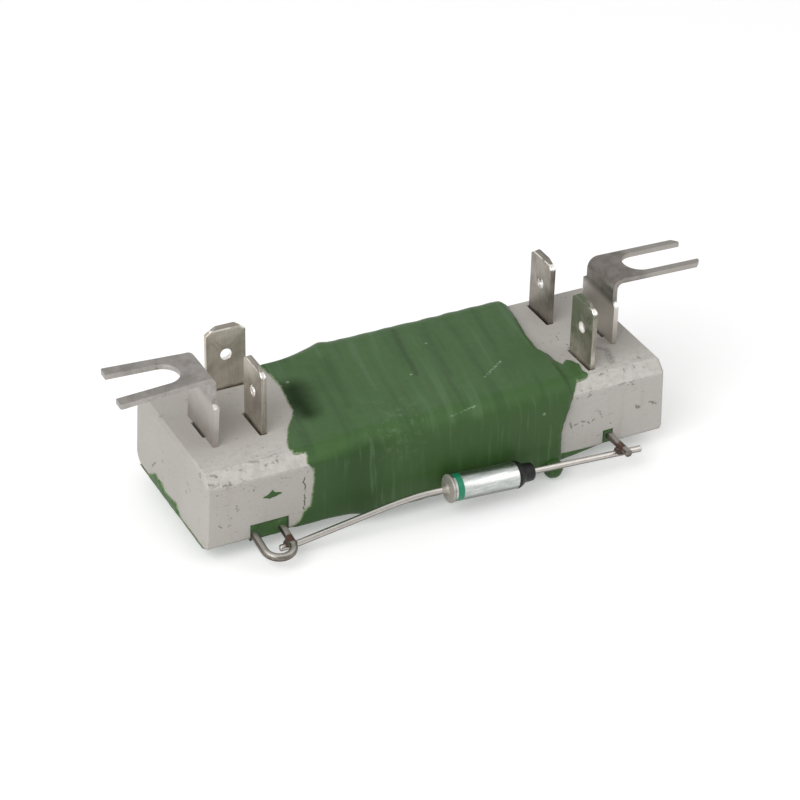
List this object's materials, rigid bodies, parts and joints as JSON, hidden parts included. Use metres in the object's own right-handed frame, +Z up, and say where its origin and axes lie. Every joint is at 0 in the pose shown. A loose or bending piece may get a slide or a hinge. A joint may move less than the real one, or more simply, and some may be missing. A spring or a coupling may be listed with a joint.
{
  "type": "wire-wound resistor",
  "caption": "Ceramic block resistor wound with wire under green cement, with fork terminals, push-on tabs and a thermal fuse bridged in front.",
  "frame": {"origin": "middle of the ceramic block's flat underside", "axes": "+X along the block towards the end with two side tabs, +Y away from the thermal fuse, +Z up through the terminals"},
  "size_m": [0.095, 0.0334, 0.0256],
  "materials": {
    "ceramic": "matte",
    "cement": "matte",
    "resistance_wire": "satin",
    "terminal_left": "satin",
    "terminal_right": "satin",
    "tab": "satin",
    "tap_wire": "satin",
    "weld": "matte",
    "fuse_metal": "satin",
    "fuse_lead": "satin",
    "seal": "satin",
    "pellet": "matte",
    "fuse_inner": "satin",
    "bushing": "matte"
  },
  "bodies": {
    "root": {"ceramic_core": "ceramic", "cement_coating": "cement", "resistance_winding": "resistance_wire", "fork_left": "terminal_left", "fork_right": "terminal_right", "tab_left_front": "tab", "tab_left_side": "tab", "tab_right_back": "tab", "tab_right_front": "tab", "tap_loop": "tap_wire", "tap_pin": "tap_wire", "weld_left": "weld", "weld_right": "weld", "fuse_case": "fuse_metal", "fuse_lead_case": "fuse_lead", "fuse_lead_isolated": "fuse_lead", "fuse_seal": "seal", "fuse_pellet": "pellet", "fuse_disc_pellet": "fuse_inner", "fuse_disc_contact": "fuse_inner", "fuse_compression_spring": "fuse_inner", "fuse_star_contact": "fuse_inner", "fuse_trip_spring": "fuse_inner", "fuse_bushing": "bushing"}
  },
  "joints": []
}
